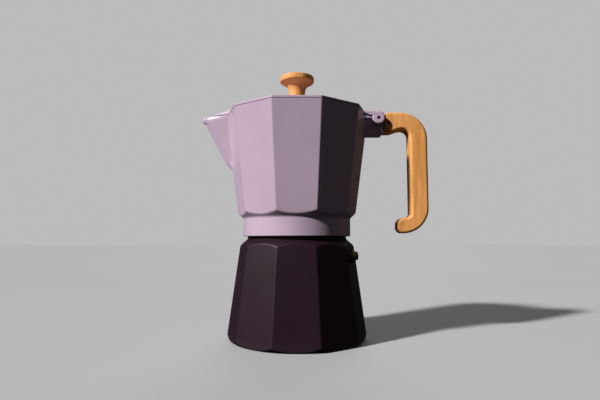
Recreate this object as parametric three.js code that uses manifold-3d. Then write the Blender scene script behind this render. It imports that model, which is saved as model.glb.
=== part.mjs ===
// Stove-top moka pot: a ten-sided boiler, a screwed-on upper chamber with a spout,
// a hinged lid with a turned wooden knob, a wooden handle, and the coffee funnel,
// strainer, gasket, filter plate and safety valve that they hold.
// Millimetres, +Z up. The origin is on the pot's axis, at the table. +X points to the
// handle, -X to the spout.
import * as THREE from "three";
import { mergeVertices } from "three/addons/utils/BufferGeometryUtils.js";
import { ConvexGeometry } from "three/addons/geometries/ConvexGeometry.js";
import Module from "manifold-3d";

const wasm = await Module();
wasm.setup();

// ---------------------------------------------------------------- driving dimensions
const SIDES = 10;
const FACET = (2 * Math.PI) / SIDES;
const APOTHEM = Math.cos(Math.PI / SIDES); // apothem of a ten-sided outline, over its corner radius
const ROUND = 40; // segments of a large turned surface
const SMALL = 20; // segments of a small turned surface
const GAP = 0.3; // clearance between neighbouring pieces
const PIN_GAP = 0.1; // clearance round a pin
const WALL = 3; // wall of both cast chambers

// Boiler. Its corner radius falls in a straight line with height.
const BASE_R = 52.73;
const BASE_TAPER = -0.1376;
const SHOULDER_Z = 74.3; // top of the turned shoulder
const NECK_R = 37.3; // plain band below the thread
const NECK_ROOT_R = 36.2;
const NECK_BORE_R = 32.4;
const NECK_TOP = 86;
const BAND_TOP = 77.3;
const FLOOR = 3.5; // boiler floor thickness

// Screw thread of the collar: a single right-hand start.
const PITCH = 4;
const THREAD_Z = 78.8; // height of the neck thread's centre where it starts, at angle 0
const NECK_TURNS = 1.5;
const NECK_CREST_R = 37.6;
const COLLAR_CREST_R = 36.8;
const THREAD_FOOT = 1; // half width of a ridge at its root
const THREAD_CREST = 0.45; // half width of a ridge at its crest

// Upper chamber. Its corner radius grows in a straight line with height.
const UPPER_R = 32.76;
const UPPER_TAPER = 0.1315;
const COLLAR_R = 40.5;
const COLLAR_Z = 76.2;
const COLLAR_TOP = 89.7;
const COLLAR_BORE_R = 38.2;
const SEAT_Z = 86.9; // lower edge of the gasket's seat
const SEAT_R = 37;
const SEAT_TOP = 91.3;
const PLATE_RECESS_R = 31.9;
const PLATE_RECESS_TOP = 92.4;
const CHAMBER_FLOOR = 96;
const RIM = 168.4;
const CONE_SLOPE = 0.9; // rise over run of the turned cones at the waist

// Spout, on the corner at -X.
const SPOUT_TIP_X = -71.3;
const SPOUT_TIP_R = 2.3;
const SPOUT_ROOT_X = -51.8;
const SPOUT_HALF = 9.2; // half width where it leaves the body, at the rim
const SPOUT_WALL = 2;
const SPOUT_LIP = 1.1; // how far the lip rounds in over its height
const SPOUT_LIP_Z = 166; // lower edge of the lip
const KEEL = [[-56.3, 135], [-53.2, 129.8], [-51.4, 127.6]]; // [x, z] down the spout's underside
const KEEL_HALF = 0.9;
const KEEL_FOOT_Z = 126.4; // where the keel runs into the body

// Lid, its hinge and the bracket that carries hinge and handle, at +X.
const LID_Z = 168.7;
const LID_EDGE_TOP = 170.25;
const LID_R = 54.9;
const LID_SEAT_R = 9.5;
const LID_TOP = 181;
const ROOF_TOP = 180.6; // top of the ten-sided roof, just below the knob's seat
const LID_WALL = 2;
const SCREW_SEAT = ROOF_TOP - LID_WALL; // underside of the lid, where the washer bears
const LIP_WALL = 1.6; // lip below the lid, inside the chamber's rim
const LIP_DEPTH = 3;
const BEAK_RIDGE = [[-64.2, 170], [-52.4, 175.1], [-38, 176.8], [-25, 177.2]]; // [x, z], beak's top
const BEAK_END_HALF = 4.6;
const PIN_X = 61.9;
const PIN_Z = 165.7;
const PIN_R = 1.2;
const PIN_RECESS = 2; // from the ears' outer faces to the ends of the hinge pin
const EYE_R = 4.8;
const EAR_IN = 7.3;
const EAR_OUT = 12;
const FLANGE_OUT = 8; // outer face of the squared flange at the inner side of each ear
const EAR_ROOT_X = 45;
const EAR_TOP = 171.8;
const BRACKET_HALF = 7;
const BRACKET_END = 66.2;
const BRACKET_BOTTOM = 154;
const BRACKET_TOP = 167.2;
const TONGUE_HALF = 2.5;
const TONGUE_END = 78;
const TONGUE_Z = [159.6, 166.8];

// Handle.
const HANDLE_HALF = 7;
const HANDLE_EDGE = 2.6; // size of the rounded edges
const HANDLE_START = 67;
const HANDLE_TOP = 171.2;
const HANDLE_OUT = 99.7;
const GRIP_IN = 86.1;
const HANDLE_BOTTOM = 78.5;
const HOOK_END = 75.9;
const HOOK_TOP = 90.4;
const HANDLE_PIN = [70.2, 163];
const HANDLE_PIN_R = 1.2;

// Funnel, strainer, gasket, filter plate.
const STEM_R = 5;
const STEM_BOTTOM = 9.5;
const BASKET_R = 31.9;
const BASKET_BOTTOM = 62;
const FUNNEL_SHEET = 0.8;
const FUNNEL_RIM_R = 35.4;
const FUNNEL_RIM_TOP = 87.3;
const GASKET_R = [29.6, 36.6];
const GASKET_Z = [87.6, 91];
const PLATE_R = 31.5;
const PLATE_Z = [91.3, 92.1];
const HOLE_SPACING = 7.6;
const HOLE_R = 0.9;
const HOLE_RINGS = 3;

// Riser column.
const RISER_FLANGE_R = 15.5;
const RISER_FLANGE_Z = [92.5, 93.8];
const RISER_NECK_R = 13; // where it passes through the chamber's floor
const RISER_TUBE_R = 6.1;
const RISER_BORE_R = 4.1;
const RISER_TOP = 154;
const RISER_SLOT_Z = [139.5, 148.5];
const RISER_SLOT_HALF = 2.1;

// Safety valve, square to the side facet nearest the front of the handle side.
const VALVE_ANGLE = -FACET / 2;
const VALVE_HEIGHT = 61.6;
const VALVE_SHANK_R = 3.2;
const VALVE_BORE_R = 2.3;
const VALVE_OPENING_R = 1; // where steam enters, at the inner end
const VALVE_IN = -8; // inner end of the valve, along its axis
const VALVE_OUT = 4.6;
const VALVE_CAP_Z = [3.7, 4.2];
const PLUNGER_R = 0.9;
const PLUNGER_COLLAR_R = 1.9;
const PLUNGER_COLLAR_Z = -2.8; // the spring stands on this face

// Knob.
const KNOB_R = 13.25;
const KNOB_TOP = 201;
const STEM_KNOB_R = 6.2;
const SCREW_R = 2;
const SCREW_TOP = 192.5;
const WASHER_R = 4.2;
const WASHER_THICK = 0.8;

// ---------------------------------------------------------------- solid helpers

// A closed geometry as a manifold-3d solid.
function solid(geometry) {
  const bare = geometry.clone();
  for (const name of Object.keys(bare.attributes)) {
    if (name !== "position") bare.deleteAttribute(name);
  }
  const merged = mergeVertices(bare, 1e-4);
  const vertProperties = merged.attributes.position.array;
  const triVerts = new Uint32Array(merged.index.array);
  return new wasm.Manifold(new wasm.Mesh({ numProp: 3, vertProperties, triVerts }));
}

// A manifold-3d solid as a geometry with flat faces.
function geometryOf(body) {
  const mesh = body.getMesh();
  const geometry = new THREE.BufferGeometry();
  geometry.setAttribute("position", new THREE.BufferAttribute(mesh.vertProperties, 3));
  geometry.setIndex(new THREE.BufferAttribute(mesh.triVerts, 1));
  const flat = geometry.toNonIndexed();
  flat.computeVertexNormals();
  return flat;
}

// Twice the signed area of a closed outline of [x, y] pairs.
function signedArea(points) {
  let sum = 0;
  points.forEach(([x, y], i) => {
    const [nextX, nextY] = points[(i + 1) % points.length];
    sum += x * nextY - nextX * y;
  });
  return sum;
}

// A turned solid about Z. The profile is a list of [radius, height] pairs that starts and
// ends on the axis, or a ring's outline, which is closed here.
function turned(profile, segments = ROUND) {
  const onAxis = profile[0][0] === 0 && profile.at(-1)[0] === 0;
  const ordered = signedArea(profile) < 0 ? [...profile].reverse() : [...profile];
  if (!onAxis) ordered.push(ordered[0]);
  const points = ordered.map(([r, z]) => new THREE.Vector2(r, z));
  return solid(new THREE.LatheGeometry(points, segments).rotateX(Math.PI / 2));
}

// A ten-sided frustum with corners on the X axis.
function decagon(bottomR, bottomZ, topR, topZ) {
  const geometry = new THREE.CylinderGeometry(topR, bottomR, topZ - bottomZ, SIDES);
  geometry.rotateX(Math.PI / 2).rotateZ(FACET / 2);
  return solid(geometry.translate(0, 0, (bottomZ + topZ) / 2));
}

// A round bar from one point to another.
function bar(radius, from, to, segments = SMALL) {
  const start = new THREE.Vector3(...from);
  const along = new THREE.Vector3(...to).sub(start);
  const geometry = new THREE.CylinderGeometry(radius, radius, along.length(), segments);
  const turn = new THREE.Quaternion().setFromUnitVectors(
    new THREE.Vector3(0, 1, 0),
    along.clone().normalize(),
  );
  geometry.applyQuaternion(turn);
  return solid(geometry.translate(...start.addScaledVector(along, 0.5).toArray()));
}

function box(low, high) {
  const size = high.map((value, i) => value - low[i]);
  const middle = high.map((value, i) => (value + low[i]) / 2);
  return solid(new THREE.BoxGeometry(...size).translate(...middle));
}

// The convex solid round a list of [x, y, z] points.
function hull(points) {
  return solid(new ConvexGeometry(points.map((point) => new THREE.Vector3(...point))));
}

// Both sides of the XZ plane: each point with y becomes two.
function mirrored(points) {
  return points.flatMap(([x, y, z]) => (y === 0 ? [[x, y, z]] : [[x, y, z], [x, -y, z]]));
}

// The same outline without the doubled points where a line meets an arc.
function cleaned(shape, arcSteps) {
  const kept = [];
  for (const point of shape.getPoints(arcSteps)) {
    if (!kept.length || point.distanceTo(kept.at(-1)) > 0.05) kept.push(point);
  }
  if (kept[0].distanceTo(kept.at(-1)) < 0.05) kept.pop();
  return new THREE.Shape(kept);
}

// A side outline in the XZ plane, given width in Y between two planes, with bevelled edges.
function slab(shape, yLow, yHigh, edge, edgeSteps = 1) {
  const arcSteps = 7;
  const geometry = new THREE.ExtrudeGeometry(cleaned(shape, arcSteps), {
    depth: yHigh - yLow - 2 * edge,
    bevelThickness: edge,
    bevelSize: edge,
    bevelOffset: -edge,
    bevelSegments: edgeSteps,
  });
  return solid(geometry.rotateX(Math.PI / 2).translate(0, yHigh - edge, 0));
}

// A helical ridge about Z. Its section runs from rootR to crestR, and it grows from nothing
// and back to nothing in the first and last eighth of a turn.
function ridge(rootR, crestR, startAngle, turns, startZ) {
  const inward = crestR < rootR ? -1 : 1;
  const depth = Math.abs(crestR - rootR);
  const sink = 0.4; // how far the ridge's foot is sunk into the wall it stands on
  const section = new THREE.Shape();
  section.moveTo(-sink, -THREAD_FOOT);
  section.lineTo(depth, -THREAD_CREST);
  section.lineTo(depth, THREAD_CREST);
  section.lineTo(-sink, THREAD_FOOT);
  section.closePath();
  const sweep = turns * 2 * Math.PI;
  const steps = Math.round(turns * ROUND);
  const geometry = new THREE.ExtrudeGeometry(section, { depth: sweep, steps, bevelEnabled: false });
  const position = geometry.attributes.position;
  const fade = Math.PI / 4;
  for (let i = 0; i < position.count; i++) {
    const swept = inward > 0 ? sweep - position.getZ(i) : position.getZ(i);
    const ends = Math.min(swept, sweep - swept) / fade;
    const height = position.getX(i) * (position.getX(i) > 0 ? Math.min(1, 0.02 + ends) : 1);
    const radius = rootR + inward * height;
    const angle = startAngle + swept;
    const rise = startZ + (PITCH * swept) / (2 * Math.PI) + position.getY(i);
    position.setXYZ(i, radius * Math.cos(angle), radius * Math.sin(angle), rise);
  }
  return solid(geometry);
}

// Hexagonal holes in rings, six more in each ring, through a plate between two heights.
function punched(plate, low, high) {
  let holes = bar(HOLE_R, [0, 0, low], [0, 0, high], 6);
  for (let ring = 1; ring <= HOLE_RINGS; ring++) {
    for (let i = 0; i < 6 * ring; i++) {
      const angle = (i * Math.PI) / (3 * ring);
      const x = ring * HOLE_SPACING * Math.cos(angle);
      const y = ring * HOLE_SPACING * Math.sin(angle);
      holes = holes.add(bar(HOLE_R, [x, y, low], [x, y, high], 6));
    }
  }
  return plate.subtract(holes);
}

const baseCorner = (z) => BASE_R + BASE_TAPER * z;
const upperCorner = (z) => UPPER_R + UPPER_TAPER * z;

// ---------------------------------------------------------------- materials
const material = (name, color, roughness, metalness) =>
  new THREE.MeshStandardMaterial({ name, color, roughness, metalness });
const basePaint = material("base_paint", 0x3a2c3a, 0.45, 0.1);
const upperPaint = material("upper_paint", 0xc0abba, 0.4, 0.1);
const wood = material("wood", 0xd09a5c, 0.6, 0);
const steel = material("steel", 0xb9bbbd, 0.35, 0.9);
const brass = material("brass", 0xb5a05c, 0.35, 0.9);
const aluminium = material("aluminium", 0xc9cacc, 0.4, 0.85);
const rubber = material("rubber", 0xe4e0d6, 0.8, 0);

const pot = new THREE.Group();

function addPiece(name, body, surface, parent = pot) {
  const mesh = new THREE.Mesh(geometryOf(body), surface);
  mesh.name = name;
  parent.add(mesh);
}

// ---------------------------------------------------------------- boiler

// Distance from the axis to the middle of a boiler facet.
const baseFacet = (z) => APOTHEM * baseCorner(z);
const VALVE_TILT = Math.atan(-BASE_TAPER * APOTHEM);

// Local +Z is the valve's axis, pointing out, and z = 0 is the face of the facet.
const valveGroup = new THREE.Group();
valveGroup.rotation.set(0, Math.PI / 2 - VALVE_TILT, VALVE_ANGLE, "ZYX");
valveGroup.position.set(
  baseFacet(VALVE_HEIGHT) * Math.cos(VALVE_ANGLE),
  baseFacet(VALVE_HEIGHT) * Math.sin(VALVE_ANGLE),
  VALVE_HEIGHT,
);
valveGroup.updateMatrix();
pot.add(valveGroup);

function boiler() {
  const footR = 46.6;
  const footEdge = 6.1; // radius of the turned bottom edge
  const arcSteps = 4;
  const outline = [[0, 0]];
  for (let i = 0; i <= arcSteps; i++) {
    const angle = (i * Math.PI) / (2 * arcSteps);
    outline.push([footR + footEdge * Math.sin(angle), footEdge * (1 - Math.cos(angle))]);
  }
  const wide = 60;
  const shoulderLow = SHOULDER_Z - (wide - NECK_R) * CONE_SLOPE;
  outline.push([wide, 25], [wide, shoulderLow], [NECK_R, SHOULDER_Z], [NECK_R, BAND_TOP]);
  outline.push([NECK_ROOT_R, BAND_TOP + 0.6], [NECK_ROOT_R, NECK_TOP], [0, NECK_TOP]);
  const reach = NECK_TOP + 1;
  const facets = decagon(baseCorner(0), 0, baseCorner(SHOULDER_Z), SHOULDER_Z);
  const neck = bar(NECK_R + 0.5, [0, 0, SHOULDER_Z - 5], [0, 0, reach], ROUND);
  const outside = turned(outline).intersect(facets.add(neck));

  const innerWall = WALL / APOTHEM;
  const shoulderIn = SHOULDER_Z - WALL * 1.45; // where the inner shoulder would reach NECK_R
  const room = turned([
    [0, FLOOR],
    [43.5, FLOOR],
    [wide, FLOOR + 14],
    [wide, shoulderIn - (wide - NECK_R) * CONE_SLOPE],
    [NECK_BORE_R, shoulderIn + (NECK_R - NECK_BORE_R) * CONE_SLOPE],
    [NECK_BORE_R, reach],
    [0, reach],
  ]);
  const roomFacets = decagon(
    baseCorner(0) - innerWall,
    0,
    baseCorner(SHOULDER_Z) - innerWall,
    SHOULDER_Z,
  );
  const bore = bar(NECK_BORE_R + 0.01, [0, 0, 60], [0, 0, reach], ROUND);
  const inside = room.intersect(roomFacets.add(bore));

  const thread = ridge(NECK_ROOT_R, NECK_CREST_R, 0, NECK_TURNS, THREAD_Z);
  const valveHole = bar(VALVE_SHANK_R + GAP, [0, 0, -8], [0, 0, 3]);
  return outside.add(thread).subtract(inside).subtract(
    valveHole.transform(valveGroup.matrix.toArray()),
  );
}
addPiece("boiler", boiler(), basePaint);

// ---------------------------------------------------------------- safety valve
function valveBody() {
  const hexAcross = 9.2;
  const hexTop = 2.4;
  const hexR = hexAcross / Math.sqrt(3);
  const hex = new THREE.CylinderGeometry(hexR, hexR, hexTop - GAP, 6);
  hex.rotateX(Math.PI / 2).rotateZ(Math.PI / 6).translate(0, 0, (hexTop + GAP) / 2);
  const edge = 0.3;
  const barrel = turned([
    [0, VALVE_IN],
    [VALVE_SHANK_R - 2 * edge, VALVE_IN],
    [VALVE_SHANK_R, VALVE_IN + 2 * edge],
    [VALVE_SHANK_R, VALVE_OUT - edge],
    [VALVE_SHANK_R - edge, VALVE_OUT],
    [0, VALVE_OUT],
  ], SMALL);
  const seatLow = -5.6;
  const seatHigh = -4.3;
  const capSeatZ = VALVE_CAP_Z[0] - GAP;
  const capSeatR = 2.7;
  const passage = turned([
    [0, VALVE_IN - 1],
    [VALVE_OPENING_R, VALVE_IN - 1],
    [VALVE_OPENING_R, seatLow],
    [VALVE_BORE_R, seatHigh],
    [VALVE_BORE_R, capSeatZ],
    [capSeatR, capSeatZ],
    [capSeatR, VALVE_OUT + 1],
    [0, VALVE_OUT + 1],
  ], SMALL);
  return barrel.add(solid(hex)).subtract(passage);
}

// The ring that closes the valve's outer end and guides the plunger's stem.
function valveCap() {
  const [low, high] = VALVE_CAP_Z;
  const inner = PLUNGER_R + GAP;
  const outer = 2.4;
  return turned([[inner, low], [outer, low], [outer, high], [inner, high]], SMALL);
}

// Seat cone, spring collar and stem.
function valvePlunger() {
  const stemTop = 5.3;
  return turned([
    [0, -5.4],
    [0.6, -5.2],
    [1.6, -4],
    [PLUNGER_COLLAR_R, -3.5],
    [PLUNGER_COLLAR_R, PLUNGER_COLLAR_Z],
    [PLUNGER_R, PLUNGER_COLLAR_Z],
    [PLUNGER_R, stemTop - 0.4],
    [PLUNGER_R - 0.3, stemTop],
    [0, stemTop],
  ], SMALL);
}

function valveSpring() {
  const coils = 5;
  const coilR = 1.65;
  const wireR = 0.22;
  const low = PLUNGER_COLLAR_Z + GAP + wireR;
  const high = VALVE_CAP_Z[0] - GAP - wireR;
  const stepsPerCoil = 12;
  class Helix extends THREE.Curve {
    getPoint(t, target = new THREE.Vector3()) {
      const angle = t * coils * 2 * Math.PI;
      return target.set(coilR * Math.cos(angle), coilR * Math.sin(angle), low + t * (high - low));
    }
  }
  const wire = new THREE.Shape();
  wire.absarc(0, 0, wireR, 0, 2 * Math.PI);
  const geometry = new THREE.ExtrudeGeometry(wire, {
    steps: coils * stepsPerCoil,
    extrudePath: new Helix(),
    curveSegments: 3,
  });
  return solid(geometry);
}
addPiece("valve_body", valveBody(), brass, valveGroup);
addPiece("valve_cap", valveCap(), brass, valveGroup);
addPiece("valve_plunger", valvePlunger(), brass, valveGroup);
addPiece("valve_spring", valveSpring(), steel, valveGroup);

// ---------------------------------------------------------------- funnel and strainer
function funnel() {
  const stemIn = STEM_R - FUNNEL_SHEET;
  const basketIn = BASKET_R - FUNNEL_SHEET;
  const coneTop = 28;
  const coneBottom = 54;
  return turned([
    [stemIn, STEM_BOTTOM],
    [STEM_R, STEM_BOTTOM],
    [STEM_R, coneBottom],
    [coneTop, BASKET_BOTTOM - FUNNEL_SHEET],
    [BASKET_R, BASKET_BOTTOM - FUNNEL_SHEET],
    [BASKET_R, NECK_TOP + GAP],
    [FUNNEL_RIM_R, NECK_TOP + GAP],
    [FUNNEL_RIM_R, FUNNEL_RIM_TOP],
    [basketIn, FUNNEL_RIM_TOP],
    [basketIn, BASKET_BOTTOM],
    [coneTop, BASKET_BOTTOM],
    [stemIn, coneBottom + FUNNEL_SHEET],
  ], ROUND);
}
addPiece("funnel", funnel(), aluminium);

function strainer() {
  const low = BASKET_BOTTOM + GAP;
  const high = low + FUNNEL_SHEET;
  const disc = bar(BASKET_R - FUNNEL_SHEET - GAP, [0, 0, low], [0, 0, high], ROUND);
  return punched(disc, low - 1, high + 1);
}
addPiece("funnel_strainer", strainer(), aluminium);

// ---------------------------------------------------------------- gasket and filter plate
function gasket() {
  const [inner, outer] = GASKET_R;
  const [low, high] = GASKET_Z;
  const edge = 0.5;
  return turned([
    [inner + edge, low],
    [outer - edge, low],
    [outer, low + edge],
    [outer, high - edge],
    [outer - edge, high],
    [inner + edge, high],
    [inner, high - edge],
    [inner, low + edge],
  ]);
}
addPiece("gasket", gasket(), rubber);

function filterPlate() {
  const [low, high] = PLATE_Z;
  return punched(bar(PLATE_R, [0, 0, low], [0, 0, high], ROUND), low - 1, high + 1);
}
addPiece("filter_plate", filterPlate(), aluminium);

// ---------------------------------------------------------------- upper chamber
const WIDE = 62; // radius past every corner of the upper chamber

// The turned cone that grows out of the collar, as the last points of a profile.
function waistCone(startR, startZ) {
  return [[startR, startZ], [WIDE, startZ + (WIDE - startR) * CONE_SLOPE]];
}

// The spout's outside, shrunk by a wall for its channel. It runs down to a point on the
// corner of the body.
function spoutHull(shrink, top, innerX) {
  const tipR = SPOUT_TIP_R - shrink * 0.55;
  const tipX = SPOUT_TIP_X + shrink * 0.2;
  const half = SPOUT_HALF - shrink;
  const keelIn = shrink * 1.1;
  const points = [
    [innerX, half, top],
    [SPOUT_ROOT_X, half, top],
    [innerX, KEEL_HALF, KEEL_FOOT_Z + shrink],
  ];
  for (const [x, z] of KEEL) points.push([x + keelIn, KEEL_HALF, z + shrink]);
  const steps = 4;
  for (let i = 0; i <= steps; i++) {
    const angle = (i * Math.PI) / (2 * steps);
    const y = tipR * Math.sin(angle);
    points.push([tipX - tipR * Math.cos(angle), y, SPOUT_LIP_Z]);
    points.push([tipX - (tipR - SPOUT_LIP) * Math.cos(angle), y, top]);
  }
  return hull(mirrored(points));
}

// The bracket's side outline: a block with rounded lower corner, and the knuckle of the hinge.
function bracket() {
  const block = new THREE.Shape();
  const inX = 47;
  const corner = 1.6;
  block.moveTo(inX, BRACKET_BOTTOM);
  block.lineTo(BRACKET_END - corner, BRACKET_BOTTOM);
  block.absarc(BRACKET_END - corner, BRACKET_BOTTOM + corner, corner, -Math.PI / 2, 0);
  block.lineTo(BRACKET_END, PIN_Z);
  block.lineTo(PIN_X, BRACKET_TOP);
  block.lineTo(inX, BRACKET_TOP);
  block.closePath();
  const knuckle = bar(EYE_R, [PIN_X, -BRACKET_HALF, PIN_Z], [PIN_X, BRACKET_HALF, PIN_Z]);
  const tongue = box(
    [BRACKET_END - 4, -TONGUE_HALF, TONGUE_Z[0]],
    [TONGUE_END, TONGUE_HALF, TONGUE_Z[1]],
  );
  return slab(block, -BRACKET_HALF, BRACKET_HALF, 0.8).add(knuckle).add(tongue);
}

function hingeHole() {
  return bar(PIN_R + PIN_GAP, [PIN_X, -20, PIN_Z], [PIN_X, 20, PIN_Z]);
}

function handlePinHole() {
  const [x, z] = HANDLE_PIN;
  return bar(HANDLE_PIN_R + PIN_GAP, [x, -20, z], [x, 20, z]);
}

function upperChamber() {
  const top = RIM;
  const outside = turned([
    [0, COLLAR_Z],
    [COLLAR_R, COLLAR_Z],
    ...waistCone(COLLAR_R, COLLAR_TOP),
    [WIDE, top],
    [0, top],
  ]).intersect(decagon(upperCorner(COLLAR_Z - 1), COLLAR_Z - 1, upperCorner(top), top));

  const wall = WALL / APOTHEM;
  const above = top + 5;
  const room = turned([
    [0, CHAMBER_FLOOR],
    ...waistCone(COLLAR_R - 1.5, CHAMBER_FLOOR),
    [WIDE, above],
    [0, above],
  ]).intersect(decagon(upperCorner(90) - wall, 90, upperCorner(above) - wall, above));

  const socket = turned([
    [0, COLLAR_Z - 1],
    [COLLAR_BORE_R + 1, COLLAR_Z - 1],
    [COLLAR_BORE_R, COLLAR_Z + 0.8],
    [COLLAR_BORE_R, SEAT_Z - 1],
    [SEAT_R, SEAT_Z],
    [SEAT_R, SEAT_TOP],
    [PLATE_RECESS_R, SEAT_TOP],
    [PLATE_RECESS_R, PLATE_RECESS_TOP],
    [RISER_FLANGE_R + GAP, PLATE_RECESS_TOP],
    [RISER_FLANGE_R + GAP, RISER_FLANGE_Z[1] + GAP],
    [RISER_NECK_R + GAP, RISER_FLANGE_Z[1] + GAP],
    [RISER_NECK_R + GAP, CHAMBER_FLOOR + 1],
    [0, CHAMBER_FLOOR + 1],
  ]);

  // The ridge in the collar stands half a pitch above the one on the neck.
  const collarTurns = 1.6;
  const collarThread = ridge(
    COLLAR_BORE_R,
    COLLAR_CREST_R,
    -Math.PI,
    collarTurns,
    THREAD_Z,
  );

  const spout = spoutHull(0, top, -47);
  const channel = spoutHull(SPOUT_WALL, top + 0.01, -46);
  return outside
    .add(spout)
    .add(bracket())
    .subtract(room)
    .subtract(channel)
    .subtract(socket)
    .add(collarThread)
    .subtract(hingeHole())
    .subtract(handlePinHole());
}
addPiece("upper_chamber", upperChamber(), upperPaint);

// The riser that coffee comes up through: a flange under the chamber's floor, a cone, and a
// tube with a closed top and two slots.
function riserColumn() {
  const [flangeLow, flangeHigh] = RISER_FLANGE_Z;
  const tube = turned([
    [0, RISER_TOP - 3.6],
    [3.2, RISER_TOP - 4],
    [3.9, RISER_TOP - 5.2],
    [RISER_BORE_R, 108],
    [RISER_BORE_R + 1.3, 104.5],
    [RISER_NECK_R - 2, 97],
    [RISER_NECK_R - 1, flangeLow],
    [RISER_FLANGE_R, flangeLow],
    [RISER_FLANGE_R, flangeHigh],
    [RISER_NECK_R, flangeHigh],
    [RISER_NECK_R, 97.5],
    [RISER_TUBE_R + 1.3, 106],
    [RISER_TUBE_R, 110],
    [RISER_TUBE_R - 0.5, RISER_TOP - 4],
    [RISER_TUBE_R - 1.5, RISER_TOP - 1.6],
    [2.4, RISER_TOP - 0.4],
    [0, RISER_TOP],
  ], 24);
  const [slotLow, slotHigh] = RISER_SLOT_Z;
  const slots = box([-RISER_SLOT_HALF, -10, slotLow], [RISER_SLOT_HALF, 10, slotHigh]);
  return tube.subtract(slots);
}
addPiece("riser_column", riserColumn(), aluminium);

// ---------------------------------------------------------------- handle
function handleOutline() {
  const outerTopR = 20.4;
  const outerBottomR = 19.4;
  const underStart = 155.6; // underside where the handle meets the bracket
  const underEnd = 158.1; // underside where it turns down into the grip
  const innerTopR = 5.5;
  const hookR = 4.2;
  const innerHookR = 3.2;
  const shape = new THREE.Shape();
  shape.moveTo(HANDLE_START, underStart);
  shape.lineTo(GRIP_IN - innerTopR, underEnd);
  shape.absarc(GRIP_IN - innerTopR, underEnd - innerTopR, innerTopR, Math.PI / 2, 0, true);
  shape.lineTo(GRIP_IN, HOOK_TOP + innerHookR);
  shape.absarc(GRIP_IN - innerHookR, HOOK_TOP + innerHookR, innerHookR, 0, -Math.PI / 2, true);
  shape.lineTo(HOOK_END + hookR, HOOK_TOP);
  shape.absarc(HOOK_END + hookR, HOOK_TOP - hookR, hookR, Math.PI / 2, Math.PI);
  shape.lineTo(HOOK_END, HANDLE_BOTTOM + hookR);
  shape.absarc(HOOK_END + hookR, HANDLE_BOTTOM + hookR, hookR, Math.PI, 1.5 * Math.PI);
  const bottomX = HANDLE_OUT - outerBottomR;
  shape.absarc(bottomX, HANDLE_BOTTOM + outerBottomR, outerBottomR, -Math.PI / 2, 0);
  const topX = HANDLE_OUT - outerTopR;
  shape.absarc(topX, HANDLE_TOP - outerTopR, outerTopR, 0, Math.PI / 2);
  const chamfer = 1.6;
  shape.lineTo(HANDLE_START + chamfer, HANDLE_TOP);
  shape.lineTo(HANDLE_START, HANDLE_TOP - chamfer);
  shape.closePath();
  return shape;
}

function handle() {
  const slot = box(
    [HANDLE_START - 5, -TONGUE_HALF - GAP, TONGUE_Z[0] - GAP],
    [TONGUE_END + GAP, TONGUE_HALF + GAP, TONGUE_Z[1] + GAP],
  );
  return slab(handleOutline(), -HANDLE_HALF, HANDLE_HALF, HANDLE_EDGE, 3)
    .subtract(slot)
    .subtract(handlePinHole());
}
addPiece("handle", handle(), wood);

function handlePin() {
  const [x, z] = HANDLE_PIN;
  const half = HANDLE_HALF - 1.5;
  return bar(HANDLE_PIN_R, [x, -half, z], [x, half, z], 16);
}
addPiece("handle_pin", handlePin(), steel);

// ---------------------------------------------------------------- lid
const ROOF_SLOPE = (ROOF_TOP - LID_EDGE_TOP) / (LID_R - LID_SEAT_R);

// The pointed roof that covers the spout's channel.
function beak(shrink, bottom) {
  const [[endX, endZ], ...crest] = BEAK_RIDGE;
  const halfEnd = BEAK_END_HALF - shrink;
  const half = SPOUT_HALF - shrink;
  const inX = -40;
  const inTop = 171;
  const points = [
    [endX + shrink, halfEnd, bottom],
    [endX + shrink, halfEnd, endZ - 0.6 - shrink * 0.4],
    [endX + shrink, 0, endZ - shrink * 0.3],
    [SPOUT_ROOT_X, half, bottom],
    [SPOUT_ROOT_X, half, LID_EDGE_TOP - shrink],
    [inX, half, bottom],
    [inX, half, inTop - shrink],
  ];
  for (const [x, z] of crest) points.push([x, 0, z - shrink]);
  return hull(mirrored(points));
}

// One side outline of a hinge ear: an arm that leaves the lid's edge and drops to the eye round
// the pin. endOutline draws the rest, from the underside of the eye back to the arm's top.
function earOutline(endOutline) {
  const armBottom = 167.3;
  const armStart = 53; // clear of the body's rim below the lid
  const shape = new THREE.Shape();
  shape.moveTo(EAR_ROOT_X, EAR_TOP);
  shape.lineTo(EAR_ROOT_X, LID_Z);
  shape.lineTo(armStart, LID_Z);
  shape.lineTo(armStart + 1.5, armBottom);
  shape.lineTo(PIN_X - EYE_R * 0.95, armBottom);
  endOutline(shape);
  shape.closePath();
  return shape;
}

// One ear of the hinge on the side that y points to: a thick arm with a round end, and a thin
// flange with a squared end on its inner side.
function ear(side) {
  const chamfer = 1.6;
  const eyeStart = Math.PI * 0.94; // where the underside of the arm meets the eye
  const eyeEnd = Math.PI * 2.47; // where the arm's top runs off the eye
  const arm = earOutline((shape) => {
    shape.absarc(PIN_X, PIN_Z, EYE_R, eyeStart, eyeEnd);
  });
  const flange = earOutline((shape) => {
    shape.absarc(PIN_X, PIN_Z, EYE_R, eyeStart, 2 * Math.PI);
    shape.lineTo(PIN_X + EYE_R, EAR_TOP - chamfer);
    shape.lineTo(PIN_X + EYE_R - chamfer, EAR_TOP);
  });
  const across = (low, high) => (side > 0 ? [low, high] : [-high, -low]);
  const armBody = slab(arm, ...across(EAR_IN, EAR_OUT), 1.2, 2);
  return armBody.add(slab(flange, ...across(EAR_IN, FLANGE_OUT), 0.1));
}

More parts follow.
